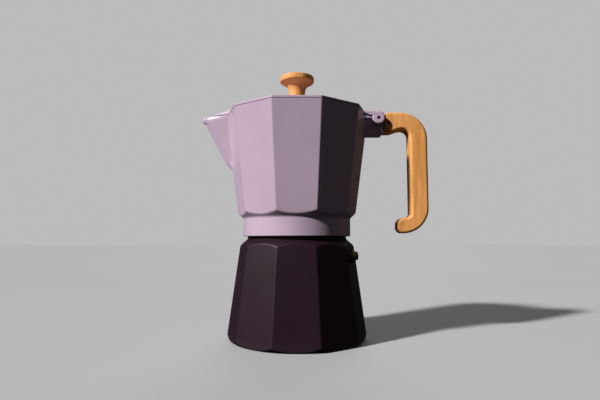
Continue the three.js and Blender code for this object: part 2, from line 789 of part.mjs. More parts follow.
// The lip that drops inside the chamber's rim, open at the spout.
function lidLip(lipR) {
  const drawn = UPPER_TAPER * LIP_DEPTH;
  const inR = lipR - LIP_WALL;
  const outside = decagon(lipR - drawn, LID_Z - LIP_DEPTH, lipR, LID_Z + 1);
  const inside = decagon(inR - drawn, LID_Z - LIP_DEPTH - 1, inR, LID_Z + 2);
  const gapHalf = SPOUT_HALF + 1;
  const spoutGap = box([-60, -gapHalf, LID_Z - LIP_DEPTH - 2], [-30, gapHalf, LID_Z]);
  return outside.subtract(inside).subtract(spoutGap);
}

function lid() {
  const plate = decagon(LID_R, LID_Z, LID_R, LID_EDGE_TOP);
  const roof = decagon(LID_R, LID_EDGE_TOP, LID_SEAT_R, ROOF_TOP);
  const seat = bar(LID_SEAT_R * APOTHEM, [0, 0, LID_TOP - 4], [0, 0, LID_TOP], 24);
  const lipR = upperCorner(RIM) - WALL / APOTHEM - 0.4;
  const roomR = lipR - LIP_WALL;
  const roomTop = ROOF_TOP - LID_WALL;
  const room = decagon(roomR, LID_Z - 1, roomR, LID_Z).add(
    decagon(roomR, LID_Z, roomR - (roomTop - LID_Z) / ROOF_SLOPE, roomTop),
  );
  const screwHole = bar(SCREW_R + 0.4, [0, 0, LID_Z], [0, 0, LID_TOP + 1]);
  return plate
    .add(roof)
    .add(seat)
    .add(beak(0, LID_Z))
    .add(ear(-1))
    .add(ear(1))
    .subtract(room)
    .subtract(beak(LIP_WALL, LID_Z - 1))
    .add(lidLip(lipR))
    .subtract(screwHole)
    .subtract(hingeHole());
}
addPiece("lid", lid(), upperPaint);

const hingePin = () => {
  const half = EAR_OUT - PIN_RECESS;
  return bar(PIN_R, [PIN_X, -half, PIN_Z], [PIN_X, half, PIN_Z], 16);
};
addPiece("hinge_pin", hingePin(), steel);

// ---------------------------------------------------------------- knob
function knob() {
  const low = LID_TOP + GAP;
  const outside = turned([
    [0, low],
    [STEM_KNOB_R, low],
    [STEM_KNOB_R, KNOB_TOP - 12.9],
    [STEM_KNOB_R + 0.4, KNOB_TOP - 10.7],
    [STEM_KNOB_R + 1.2, KNOB_TOP - 8.6],
    [STEM_KNOB_R + 2.5, KNOB_TOP - 7.1],
    [KNOB_R - 2, KNOB_TOP - 5.8],
    [KNOB_R - 0.3, KNOB_TOP - 4.6],
    [KNOB_R, KNOB_TOP - 4.1],
    [KNOB_R, KNOB_TOP - 1.8],
    [KNOB_R - 0.5, KNOB_TOP - 0.8],
    [KNOB_R - 1.9, KNOB_TOP - 0.2],
    [0, KNOB_TOP],
  ], 32);
  return outside.subtract(bar(SCREW_R + GAP, [0, 0, low - 1], [0, 0, SCREW_TOP + 1]));
}
addPiece("knob", knob(), wood);

// The washer and the screw hold the knob from below the lid.
function knobWasher() {
  const high = SCREW_SEAT - GAP;
  const low = high - WASHER_THICK;
  const inner = SCREW_R + 0.4;
  return turned([[inner, low], [WASHER_R, low], [WASHER_R, high], [inner, high]], SMALL);
}
addPiece("knob_washer", knobWasher(), steel);

function knobScrew() {
  const headR = 3.7;
  const headThick = 2.2;
  const headTop = SCREW_SEAT - 2 * GAP - WASHER_THICK;
  const body = turned([
    [0, headTop - headThick],
    [headR - 1.1, headTop - headThick],
    [headR, headTop - headThick + 1],
    [headR, headTop],
    [SCREW_R, headTop],
    [SCREW_R, SCREW_TOP - 1],
    [0, SCREW_TOP],
  ], SMALL);
  const slotTop = headTop - headThick + 1;
  const slot = box([-5, -0.5, headTop - headThick - 1], [5, 0.5, slotTop]);
  return body.subtract(slot);
}
addPiece("knob_screw", knobScrew(), steel);

export default pot;
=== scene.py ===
"""Looks of a stove-top moka pot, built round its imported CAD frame.

Metres in Blender and millimetres in the tables here. +Z is up the pot's axis, +X points to
the handle and -X to the spout.
"""
import math

import bmesh
import bpy
import numpy as np
from mathutils import Matrix, Vector


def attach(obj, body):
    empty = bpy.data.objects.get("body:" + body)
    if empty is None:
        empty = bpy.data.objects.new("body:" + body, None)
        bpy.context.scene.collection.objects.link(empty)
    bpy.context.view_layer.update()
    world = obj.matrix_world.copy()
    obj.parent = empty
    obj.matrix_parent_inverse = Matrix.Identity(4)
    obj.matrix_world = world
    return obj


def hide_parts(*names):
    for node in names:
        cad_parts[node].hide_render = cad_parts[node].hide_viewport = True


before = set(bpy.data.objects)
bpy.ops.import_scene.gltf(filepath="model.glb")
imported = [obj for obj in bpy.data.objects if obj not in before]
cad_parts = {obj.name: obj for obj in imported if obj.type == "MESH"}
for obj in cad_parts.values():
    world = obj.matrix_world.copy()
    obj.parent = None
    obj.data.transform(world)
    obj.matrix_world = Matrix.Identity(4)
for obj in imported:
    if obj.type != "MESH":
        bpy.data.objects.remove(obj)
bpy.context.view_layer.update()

MM = 0.001
PI = math.pi

# ------------------------------------------------------------------ shared dimensions
SIDES = 10
FACET = 2 * PI / SIDES
APOTHEM = math.cos(FACET / 2)
CONE_SLOPE = 0.9
CORNER_SOFT = 0.036  # rounding of the ten upright edges, as a share of the corner radius

BASE_R, BASE_TAPER = 52.73, -0.1376
FOOT_R, FOOT_EDGE = 46.6, 6.1
SHOULDER_Z = 74.3
NECK_R, NECK_ROOT_R, NECK_BORE_R = 37.3, 36.2, 32.4
BAND_TOP, NECK_TOP = 77.3, 86.0
FLOOR_Z = 3.5
WALL = 3.0

PITCH = 4.0
THREAD_Z = 78.8

UPPER_R, UPPER_TAPER = 32.76, 0.1315
COLLAR_R, COLLAR_Z, COLLAR_TOP = 40.5, 76.2, 89.7
COLLAR_BORE_R = 38.2
CHAMBER_FLOOR = 96.0
RIM = 168.4

LID_Z, LID_EDGE_TOP, LID_R = 168.7, 170.25, 54.9
ROOF_TOP, LID_SEAT_R, LID_TOP = 180.6, 9.5, 181.0
PIN_X, PIN_Z = 61.9, 165.7
EYE_R = 4.8
PIN_R, PIN_HOLE_R, PIN_EDGE = 1.2, 1.3, 0.4
HINGE_PIN_HALF = 10.0
THROUGH = 20  # half the length of a tool that cuts a hole right through

HANDLE_HALF, HANDLE_EDGE = 7.0, 2.2
HANDLE_PIN_X, HANDLE_PIN_Z, HANDLE_PIN_HALF = 70.2, 163.0, 5.5
TONGUE_END, TONGUE_LOW, TONGUE_HIGH, TONGUE_HALF = 78.0, 159.6, 166.8, 2.5
SLOT_GAP = 0.3
SLIVER = 0.01  # edge rounding too small to see, for the tools of a cut


# ------------------------------------------------------------------ mesh helpers
MERGE = 0.002


def finish_mesh(name, verts, faces, material):
    """A piece from points in millimetres, with doubled points merged and normals outward."""
    mesh = bpy.data.meshes.new(name)
    mesh.from_pydata([tuple(float(c) * MM for c in v) for v in verts], [], faces)
    edit = bmesh.new()
    edit.from_mesh(mesh)
    bmesh.ops.remove_doubles(edit, verts=edit.verts, dist=MERGE * MM)
    bmesh.ops.dissolve_degenerate(edit, edges=edit.edges, dist=MERGE * MM * 0.5)
    bmesh.ops.recalc_face_normals(edit, faces=edit.faces)
    edit.to_mesh(mesh)
    edit.free()
    mesh.polygons.foreach_set("use_smooth", [True] * len(mesh.polygons))
    piece = bpy.data.objects.new(name, mesh)
    bpy.context.scene.collection.objects.link(piece)
    if material:
        mesh.materials.append(material)
    return piece


def grid_faces(columns, rows, close_rows):
    """Quads of a grid whose columns wrap round, and whose rows do if close_rows."""
    faces = []
    for i in range(columns):
        nxt = (i + 1) % columns
        for j in range(rows if close_rows else rows - 1):
            up = (j + 1) % rows
            faces.append((i * rows + j, nxt * rows + j, nxt * rows + up, i * rows + up))
    return faces


def rounded_rows(corners, columns, closed):
    """Rows of (radius, height) along a path of corners, one row of values per column.

    A corner is (radius, height, cut): cut is how far its rounding reaches along both sides.
    """
    points = [
        np.stack([np.broadcast_to(np.asarray(r, float), columns),
                  np.broadcast_to(np.asarray(z, float), columns)], axis=-1)
        for r, z, cut in corners
    ]
    rows = []
    count = len(points)
    for i, point in enumerate(points):
        cut = corners[i][2]
        ends = not closed and i in (0, count - 1)
        if cut <= 0 or ends:
            rows.append(point)
            continue
        before = points[i - 1] - point
        after = points[(i + 1) % count] - point
        reach = [np.linalg.norm(side, axis=-1, keepdims=True) for side in (before, after)]
        size = np.minimum(cut, 0.45 * np.minimum(reach[0], reach[1]))
        start = point + before / np.maximum(reach[0], 1e-6) * size
        end = point + after / np.maximum(reach[1], 1e-6) * size
        for t in np.linspace(0, 1, 5):
            rows.append((1 - t) ** 2 * start + 2 * t * (1 - t) * point + t * t * end)
    return np.stack(rows, axis=1)


def lofted(name, thetas, corners, material, closed=False):
    """A surface round Z through one path of (radius, height) per angle."""
    rows = rounded_rows(corners, len(thetas), closed)
    cos, sin = np.cos(thetas)[:, None], np.sin(thetas)[:, None]
    points = np.stack([rows[..., 0] * cos, rows[..., 0] * sin, rows[..., 1]], axis=-1)
    faces = grid_faces(len(thetas), rows.shape[1], closed)
    return finish_mesh(name, points.reshape(-1, 3), faces, material)


def turned(name, corners, material, segments=96, closed=False):
    """A surface of revolution about Z through a path of (radius, height, cut) corners."""
    thetas = np.arange(segments) * 2 * PI / segments
    return lofted(name, thetas, corners, material, closed)


def onto_axis(piece, centre, direction):
    """Turns a piece made about +Z onto another axis, and moves it there."""
    turn = Vector((0, 0, 1)).rotation_difference(Vector(direction)).to_matrix().to_4x4()
    move = Matrix.Translation(Vector([c * MM for c in centre]))
    piece.data.transform(move @ turn)
    return piece


def boolean(piece, tool, operation):
    """Joins, or cuts, one piece with another, which is then dropped."""
    modifier = piece.modifiers.new(operation, "BOOLEAN")
    modifier.operation = operation
    modifier.solver = "EXACT"
    modifier.object = tool
    bpy.context.view_layer.update()
    shown = piece.evaluated_get(bpy.context.evaluated_depsgraph_get())
    mesh = bpy.data.meshes.new_from_object(shown)
    piece.modifiers.clear()
    piece.data = mesh
    bpy.data.objects.remove(tool)
    return piece


def settle_shading(piece, angle=35):
    """Sharp edges stay sharp, and big flat faces keep flat shading beside small roundings."""
    piece.data.set_sharp_from_angle(angle=math.radians(angle))
    modifier = piece.modifiers.new("weighted", "WEIGHTED_NORMAL")
    modifier.keep_sharp = True
    return piece


def slab(name, outline, y_low, y_high, edge, material, steps=4):
    """An outline in the XZ plane given width in Y, with rounded edges."""
    outline = np.asarray(outline, float)
    area = np.sum(outline[:, 0] * np.roll(outline[:, 1], -1)
                  - np.roll(outline[:, 0], -1) * outline[:, 1])
    if area < 0:
        outline = outline[::-1]
    ahead = np.roll(outline, -1, axis=0) - outline
    ahead /= np.linalg.norm(ahead, axis=1, keepdims=True)
    normal = np.stack([-ahead[:, 1], ahead[:, 0]], axis=1)
    both = normal + np.roll(normal, 1, axis=0)
    inward = both / np.maximum(np.sum(both * both, axis=1, keepdims=True) / 2, 0.6)
    rings = []
    for k in range(steps + 1):
        turn = k * PI / 2 / steps
        inset = edge * (1 - math.sin(turn))
        drop = edge * (1 - math.cos(turn))
        rings.append((inset, y_low + drop))
    rings += [(inset, y_high - (y - y_low)) for inset, y in reversed(rings)]
    verts = []
    for inset, y in rings:
        ring = outline + inward * inset
        verts += [(x, y, z) for x, z in ring]
    count = len(outline)
    faces = []
    for ring in range(len(rings) - 1):
        for i in range(count):
            nxt = (i + 1) % count
            low, high = ring * count, (ring + 1) * count
            faces.append((low + i, low + nxt, high + nxt, high + i))
    faces.append(tuple(range(count)))
    last = (len(rings) - 1) * count
    faces.append(tuple(range(last, last + count)))
    return finish_mesh(name, verts, faces, material)


def box_outline(x_low, x_high, z_low, z_high):
    """Corners of an upright rectangle in the XZ plane."""
    return [(x_low, z_low), (x_high, z_low), (x_high, z_high), (x_low, z_high)]


def arc(x, z, radius, start, end, steps=12):
    """Points of an arc in the XZ plane, angles in degrees."""
    return [(x + radius * math.cos(math.radians(a)), z + radius * math.sin(math.radians(a)))
            for a in np.linspace(start, end, steps)]


def cross_bar(name, x, z, radius, half, material=None, edge=0.0, segments=40):
    """A round bar along Y."""
    corners = [(0, -half, 0), (radius, -half, edge), (radius, half, edge), (0, half, 0)]
    piece = turned(name, corners, material, segments)
    return onto_axis(piece, (x, 0, z), (0, 1, 0))


def helix_ridge(name, root_r, crest_r, start_angle, turns, start_z, material):
    """One thread ridge about Z that fades in and out over an eighth of a turn."""
    steps = int(turns * 96)
    verts = []
    sink = 0.3 if crest_r > root_r else -0.3
    for i in range(steps + 1):
        swept = turns * 2 * PI * i / steps
        angle = start_angle + swept
        fade = min(1, 0.03 + min(swept, turns * 2 * PI - swept) / (PI / 4))
        crest = root_r + (crest_r - root_r) * fade
        mid = root_r + (crest_r - root_r) * fade * 0.75
        rise = start_z + PITCH * swept / (2 * PI)
        section = ((root_r - sink, -1.0), (mid, -0.55), (crest, -0.3),
                   (crest, 0.3), (mid, 0.55), (root_r - sink, 1.0))
        for r, dz in section:
            verts.append((r * math.cos(angle), r * math.sin(angle), rise + dz))
    size = len(section)
    faces = []
    for i in range(steps):
        for k in range(size):
            nxt = (k + 1) % size
            faces.append((i * size + k, i * size + nxt, (i + 1) * size + nxt, (i + 1) * size + k))
    faces.append(tuple(range(size)))
    faces.append(tuple(range(steps * size, (steps + 1) * size)))
    return finish_mesh(name, verts, faces, material)


# ------------------------------------------------------------------ ten-sided outlines
def facet_angles(extra=()):
    """Angles round the pot, close together at each corner."""
    near = np.array([0, 0.3, 0.6, 0.95, 1.4, 2.2, 3.6, 6, 9, 12, 15])
    facet = 360 / SIDES
    offsets = np.concatenate([near, -near[1:], [facet / 2]])
    angles = (np.arange(SIDES)[:, None] * facet + offsets[None, :]).ravel() % 360
    angles = np.unique(np.round(np.concatenate([angles, extra]), 4))
    return np.radians(angles)


def unit_outline(thetas, soft=CORNER_SOFT):
    """Distance to a ten-sided outline of corner radius 1 with rounded corners."""
    half = FACET / 2
    phi = np.abs((thetas + half) % FACET - half)
    centre = (APOTHEM - soft) / APOTHEM
    tangent = math.atan2(soft * math.sin(half), centre + soft * math.cos(half))
    flat = APOTHEM / np.cos(half - phi)
    inside = np.maximum(soft ** 2 - (centre * np.sin(phi)) ** 2, 0)
    return np.where(phi < tangent, centre * np.cos(phi) + np.sqrt(inside), flat)


def smooth_max(a, b, reach):
    """The larger of two, blended where they are within reach of each other."""
    near = np.maximum(reach - np.abs(a - b), 0) / reach
    return np.maximum(a, b) + near * near * reach / 4


# ------------------------------------------------------------------ materials
def node_material(name):
    """A new material with its node tree, its shader and its object coordinates."""
    material = bpy.data.materials.new(name)
    material.use_nodes = True
    tree = material.node_tree
    shader = tree.nodes["Principled BSDF"]
    coords = tree.nodes.new("ShaderNodeTexCoord")
    return material, tree, shader, coords.outputs["Object"]


def add(tree, kind, inputs=None, **settings):
    """Adds a node and gives each named input a value or a link."""
    node = tree.nodes.new(kind)
    for key, value in settings.items():
        setattr(node, key, value)
    for key, value in (inputs or {}).items():
        socket = node.inputs[key]
        if isinstance(value, bpy.types.NodeSocket):
            tree.links.new(value, socket)
        else:
            socket.default_value = value
    return node


def noise(tree, coords, scale, stretch=(1, 1, 1), detail=4.0, rough=0.55, distortion=0.0):
    """A noise pattern's strength, stretched along the axes."""
    place = add(tree, "ShaderNodeMapping", {"Vector": coords, "Scale": stretch})
    return add(tree, "ShaderNodeTexNoise", {
        "Vector": place.outputs["Vector"], "Scale": scale, "Detail": detail,
        "Roughness": rough, "Distortion": distortion,
    }).outputs["Fac"]


def ramp(tree, value, stops):
    """A colour from a value, through (position, colour) stops."""
    node = add(tree, "ShaderNodeValToRGB", {"Fac": value})
    elements = node.color_ramp.elements
    while len(elements) < len(stops):
        elements.new(0.5)
    for element, (position, color) in zip(elements, stops):
        element.position = position
        element.color = (*color, 1)
    return node.outputs["Color"]


def spread(tree, value, low, high, from_low=0.3, from_high=0.7):
    """A value stretched from one range onto another."""
    return add(tree, "ShaderNodeMapRange", {
        "Value": value, "From Min": from_low, "From Max": from_high,
        "To Min": low, "To Max": high,
    }).outputs["Result"]


def mixed(tree, factor, a, b, blend="MIX"):
    """Two colours mixed by a factor; each may be a fixed value or a link."""
    node = add(tree, "ShaderNodeMix", data_type="RGBA", blend_type=blend)
    for socket, value in (("Factor", factor), ("A", a), ("B", b)):
        target = [s for s in node.inputs if s.name == socket and (
            s.type == "RGBA" if socket != "Factor" else s.type == "VALUE")][0]
        if isinstance(value, bpy.types.NodeSocket):
            tree.links.new(value, target)
        else:
            target.default_value = (*value, 1) if socket != "Factor" else value
    return [s for s in node.outputs if s.type == "RGBA"][0]


def bump(tree, shader, heights):
    """Chains bumps: each is (height socket, distance in metres, strength)."""
    normal = None
    for height, distance, strength in heights:
        inputs = {"Height": height, "Distance": distance, "Strength": strength}
        if normal:
            inputs["Normal"] = normal
        normal = add(tree, "ShaderNodeBump", inputs).outputs["Normal"]
    tree.links.new(normal, shader.inputs["Normal"])


def paint(name, color, edge_wear_highlight_color, roughness, specular):
    """Satin paint on cast aluminium: faint cloudiness, fine texture, convex edges lighter, partly
    rubbed wear and partly a painted highlight.
    """
    material, tree, shader, coords = node_material(name)
    cloud = noise(tree, coords, 28, detail=3)
    low = tuple(c * 0.94 for c in color)
    high = tuple(min(1, c * 1.05) for c in color)
    base = ramp(tree, cloud, [(0.3, low), (0.7, high)])
    geometry = add(tree, "ShaderNodeNewGeometry")
    patchy = noise(tree, coords, 240, detail=5)
    # Convex edges get a lighter colour in patches: partly worn paint, partly a painted highlight
    # where edges catch the light.
    edge = spread(tree, geometry.outputs["Pointiness"], 0, 0.35, 0.515, 0.56)
    wear_and_highlight_mask = add(tree, "ShaderNodeMath", {0: edge, 1: patchy}, operation="MULTIPLY")
    shader_color = mixed(tree, wear_and_highlight_mask.outputs[0], base, edge_wear_highlight_color)
    tree.links.new(shader_color, shader.inputs["Base Color"])
    rough = spread(tree, noise(tree, coords, 60, detail=6), roughness - 0.02, roughness + 0.03)
    tree.links.new(rough, shader.inputs["Roughness"])
    shader.inputs["Specular IOR Level"].default_value = specular
    grain = noise(tree, coords, 2200, detail=2)
    waves = noise(tree, coords, 110, detail=2)
    bump(tree, shader, [(waves, 0.0003, 0.05), (grain, 0.00004, 0.2)])
    return material


def wood(name, light, dark, stretch):
    """Light close-grained hardwood: growth rings, fine fibres and short dark flecks."""
    material, tree, shader, coords = node_material(name)
    rings = noise(tree, coords, 130, stretch, detail=3, rough=0.5, distortion=0.8)
    fibre = noise(tree, coords, 900, stretch, detail=5, rough=0.65)
    ring_color = ramp(tree, rings, [(0.28, dark), (0.5, tuple(
        (a + b) / 2 for a, b in zip(light, dark))), (0.72, light)])
    fibre_color = ramp(tree, fibre, [(0.3, (0.62, 0.57, 0.5)), (0.6, (1, 1, 1))])
    grained = mixed(tree, 0.7, ring_color, fibre_color, "MULTIPLY")
    fleck_noise = noise(tree, coords, 640, tuple(s * 1.6 for s in stretch), detail=2)
    fleck = spread(tree, fleck_noise, 0, 0.3, 0.66, 0.76)
    flecked = mixed(tree, fleck, grained, tuple(c * 0.45 for c in dark))
    tree.links.new(flecked, shader.inputs["Base Color"])
    rough = spread(tree, fibre, 0.5, 0.68)
    tree.links.new(rough, shader.inputs["Roughness"])
    shader.inputs["Specular IOR Level"].default_value = 0.4
    bump(tree, shader, [(rings, 0.0003, 0.15), (fibre, 0.0001, 0.5)])
    return material


def metal(name, color, roughness, stretch=(1, 1, 1), scale=900, strength=0.25):
    """Bare metal with machining or spinning marks and uneven shine."""
    material, tree, shader, coords = node_material(name)
    marks = noise(tree, coords, scale, stretch, detail=4, rough=0.6)
    tarnish = noise(tree, coords, 130, detail=4)
    low = tuple(c * 0.8 for c in color)
    tree.links.new(ramp(tree, tarnish, [(0.35, low), (0.62, color)]),
                   shader.inputs["Base Color"])
    shader.inputs["Metallic"].default_value = 1.0
    rough = spread(tree, marks, roughness - 0.08, roughness + 0.12)
    tree.links.new(rough, shader.inputs["Roughness"])
    bump(tree, shader, [(marks, 0.00005, strength)])
    return material


def rubber(name, color):
    """Matt, slightly clouded rubber."""
    material, tree, shader, coords = node_material(name)
    cloud = noise(tree, coords, 60, detail=4)
    base = ramp(tree, cloud, [(0.3, tuple(c * 0.88 for c in color)), (0.7, color)])
    tree.links.new(base, shader.inputs["Base Color"])
    tree.links.new(spread(tree, cloud, 0.7, 0.85), shader.inputs["Roughness"])
    bump(tree, shader, [(noise(tree, coords, 1500, detail=3), 0.00008, 0.4)])
    return material


def floor_material():
    """A plain pale floor with a faint grain."""
    material, tree, shader, coords = node_material("floor")
    base = ramp(tree, noise(tree, coords, 3, detail=3), [
        (0.3, (0.42, 0.42, 0.425)), (0.7, (0.44, 0.44, 0.445))])
    tree.links.new(base, shader.inputs["Base Color"])
    shader.inputs["Roughness"].default_value = 0.75
    bump(tree, shader, [(noise(tree, coords, 400, detail=4), 0.0001, 0.2)])
    return material


# Each paint's edge colour is lighter than its body: partly wear, partly a painted edge highlight.
BASE_PAINT = paint("base_paint", (0.0165, 0.006, 0.0125), edge_wear_highlight_color=(0.05, 0.03, 0.043),
                   roughness=0.4, specular=0.27)
UPPER_PAINT = paint("upper_paint", (0.47, 0.358, 0.453), edge_wear_highlight_color=(0.56, 0.45, 0.54),
                    roughness=0.35, specular=0.4)
WOOD = wood("wood", light=(0.88, 0.42, 0.13), dark=(0.70, 0.29, 0.07), stretch=(1, 1, 0.07))
STEEL = metal("steel", (0.58, 0.57, 0.56), 0.34)
# Near-black steel for the two pins: painted shade, darkening the pin ends as if they lay in shadow
# in their holes.
PIN_STEEL_PAINTED_SHADE = metal("pin_steel_painted_shade", (0.05, 0.05, 0.05), 0.5)
BRASS = metal("brass", (0.42, 0.34, 0.19), 0.3)
ALUMINIUM = metal("aluminium", (0.80, 0.80, 0.81), 0.36, (1, 1, 12))
RUBBER = rubber("rubber", (0.76, 0.73, 0.66))


def place(piece, body, slot, *nodes):
    """Rides a finished piece on its body and lets it stand for CAD nodes."""
    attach(piece, body)
    if nodes:
        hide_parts(*nodes)
    return piece


# ------------------------------------------------------------------ boiler
def foot_point(thetas):
    """Height at which a boiler facet runs into the turned foot, per angle."""
    outline = unit_outline(thetas)
    low, high = np.zeros_like(thetas), np.full_like(thetas, 30.0)
    for _ in range(40):
        mid = (low + high) / 2
        arc_r = FOOT_R + np.sqrt(np.maximum(FOOT_EDGE ** 2 - (FOOT_EDGE - mid) ** 2, 0))
        foot_r = np.where(mid < FOOT_EDGE, arc_r, FOOT_R + FOOT_EDGE)
        inside = foot_r < outline * (BASE_R + BASE_TAPER * mid)
        low, high = np.where(inside, mid, low), np.where(inside, high, mid)
    return low


def boiler():
    """The base: turned foot with two shallow grooves, ten facets, shoulder and threaded neck."""
    thetas = facet_angles()
    outline = unit_outline(thetas)

    def facet_r(z, inset=0):
        return outline * (BASE_R - inset + BASE_TAPER * z)

    foot_z = foot_point(thetas)
    arc_z = np.minimum(foot_z, FOOT_EDGE)
    turn_end = np.arccos(np.clip(1 - arc_z / FOOT_EDGE, -1, 1))
    corners = [(0, 0, 0)]
    groove_width, groove_depth, groove_slant, groove_edge = 2.0, 0.45, 0.3, 0.15
    for groove_r in (33, 40):
        far_r = groove_r + groove_width
        corners += [(groove_r, 0, groove_edge),
                    (groove_r + groove_slant, groove_depth, groove_edge),
                    (far_r - groove_slant, groove_depth, groove_edge),
                    (far_r, 0, groove_edge)]
    for t in np.linspace(0, 1, 9)[:-1]:
        turn = turn_end * t
        corners.append((FOOT_R + FOOT_EDGE * np.sin(turn), FOOT_EDGE * (1 - np.cos(turn)), 0))
    foot_r = FOOT_R + FOOT_EDGE * np.sin(turn_end)
    corners.append((foot_r, arc_z, 0))
    corners.append((facet_r(foot_z), foot_z, 0.7))
    shoulder = (NECK_R + SHOULDER_Z / CONE_SLOPE - outline * BASE_R) / (
        outline * BASE_TAPER + 1 / CONE_SLOPE)
    for t in (0.1, 0.35, 0.65, 0.9):
        z = foot_z + (shoulder - foot_z) * t
        corners.append((facet_r(z), z, 0))
    corners.append((facet_r(shoulder), shoulder, 1.0))
    corners += [(NECK_R, SHOULDER_Z, 0.5), (NECK_R, BAND_TOP, 0.3),
                (NECK_ROOT_R, BAND_TOP + 0.6, 0.3), (NECK_ROOT_R, NECK_TOP, 0.5),
                (NECK_BORE_R, NECK_TOP, 0.4)]
    shoulder_in = SHOULDER_Z - 4.35
    corners.append((NECK_BORE_R, shoulder_in + (NECK_R - NECK_BORE_R) * CONE_SLOPE, 0.8))
    inset = WALL / APOTHEM
    meet = (NECK_R + shoulder_in / CONE_SLOPE - outline * (BASE_R - inset)) / (
        outline * BASE_TAPER + 1 / CONE_SLOPE)
    corners.append((facet_r(meet, inset), meet, 1.0))
    corners.append((facet_r(16.5, inset), 16.5, 2.0))
    corners += [(43.5, FLOOR_Z, 1.5), (0, FLOOR_Z, 0)]
    piece = lofted("boiler_shell", thetas, corners, BASE_PAINT)
    ridge = helix_ridge("neck_ridge", NECK_ROOT_R, 37.6, 0, 1.5, THREAD_Z, BASE_PAINT)
    boolean(piece, ridge, "UNION")
    return settle_shading(piece)


# ------------------------------------------------------------------ safety valve
VALVE_ANGLE = -FACET / 2
VALVE_Z = 61.6
VALVE_TILT = math.atan(-BASE_TAPER * APOTHEM)


def valve_frame():
    """Where the valve's axis leaves its facet, and the way it points."""
    reach = APOTHEM * (BASE_R + BASE_TAPER * VALVE_Z)
    centre = (reach * math.cos(VALVE_ANGLE), reach * math.sin(VALVE_ANGLE), VALVE_Z)
    level = math.cos(VALVE_TILT)
    direction = (level * math.cos(VALVE_ANGLE), level * math.sin(VALVE_ANGLE),
                 math.sin(VALVE_TILT))
    return centre, direction


def valve_nut():
    """A hexagon with turned bevels round the valve's barrel, and the passage through it."""
    across, low, high, out, inner = 9.2, 0.3, 2.4, 4.6, -8.0
    thetas = np.arange(96) * 2 * PI / 96
    half = PI / 6
    phi = np.abs((thetas + half) % (2 * half) - half)
    hexagon = across / 2 / np.cos(half - phi)
    bevelled = np.minimum(hexagon, across / 2 * 1.02)
    cut = (hexagon - bevelled) * 0.55 + 0.02
    corners = [(bevelled, low, 0.1), (hexagon, low + cut, 0.1), (hexagon, high - cut, 0.1),
               (bevelled, high, 0.1), (3.3, high, 0.15), (3.2, high + 0.4, 0.15),
               (3.2, out - 0.3, 0.2), (2.9, out, 0.1), (2.7, out, 0.05), (2.7, out - 1.2, 0.05),
               (2.3, out - 1.2, 0.05), (2.3, -4.3, 0), (1.0, -5.6, 0), (1.0, inner, 0.1),
               (2.6, inner, 0.2), (3.2, inner + 0.6, 0.2), (3.2, low - 0.02, 0)]
    piece = lofted("valve_nut", thetas, corners, BRASS, closed=True)
    onto_axis(piece, *valve_frame())
    return settle_shading(piece, 40)


# ------------------------------------------------------------------ funnel, gasket, riser
def funnel():
    """The funnel: a stem into the water, a cone, the coffee basket and its rim."""
    corners = [(4.2, 9.5, 0.1), (5, 9.5, 0.1), (5, 54, 1.5), (28, 61.2, 1.2), (31.9, 61.2, 0.6),
               (31.9, 86.3, 0.3), (35.4, 86.3, 0.3), (35.4, 87.3, 0.3), (31.1, 87.3, 0.5),
               (31.1, 62, 0.5), (28, 62, 1.0), (4.2, 54.8, 1.2)]
    return settle_shading(turned("funnel_spun", corners, ALUMINIUM, closed=True))


def gasket():
    """A flat ring between the boiler's neck and the chamber."""
    corners = [(29.6, 87.6, 0.6), (36.6, 87.6, 0.6), (36.6, 91, 0.6), (29.6, 91, 0.6)]
    return settle_shading(turned("gasket_ring", corners, RUBBER, 128, closed=True))


def riser():
    """The column that the coffee rises through, with a slot across its head."""
    top = 154.0
    slot_half, slot_low, slot_high = 2.1, 139.5, 148.5
    corners = [(0, top - 3.6, 0), (3.2, top - 4, 0.5), (3.9, top - 5.2, 0.4), (4.1, 108, 1),
               (5.4, 104.5, 1), (11, 97, 1), (12, 92.5, 0.2), (15.5, 92.5, 0.2),
               (15.5, 93.8, 0.2), (13, 93.8, 0.1), (13, 97.5, 1.2), (7.4, 106, 2),
               (6.1, 110, 2), (5.6, top - 4, 1), (4.6, top - 1.6, 0.8), (2.4, top - 0.4, 0.6),
               (0, top, 0)]
    piece = turned("riser_tube", corners, ALUMINIUM, 64)
    slot = slab("riser_slot", box_outline(-slot_half, slot_half, slot_low, slot_high),
                -THROUGH / 2, THROUGH / 2, SLIVER, ALUMINIUM, 1)
    boolean(piece, slot, "DIFFERENCE")
    return settle_shading(piece)


# ------------------------------------------------------------------ upper chamber
SPOUT_ROOT_X, SPOUT_HALF = 51.8, 9.2

# How far out the spout's keel reaches, by height, and the bead that ends it under the rim.
KEEL_Z = [126.4, 127.6, 129.8, 135, 143, 160, 165, 167, 168.4]
KEEL_X = [47, 51.4, 53.2, 56.3, 60.6, 69.4, 71.7, 71.8, 70.8]
BEAD_X, BEAD_Z, BEAD_R, BEAD_TIP_R = 70.9, 165.8, 2.7, 1.9


def round_end(phi, tip_x, tip_r):
    """Distance to a round end of radius tip_r that reaches tip_x; 0 beside it."""
    centre = tip_x - tip_r
    room = tip_r ** 2 - (centre * np.sin(phi)) ** 2
    return np.where(room > 0, centre * np.cos(phi) + np.sqrt(np.maximum(room, 0)), 0)


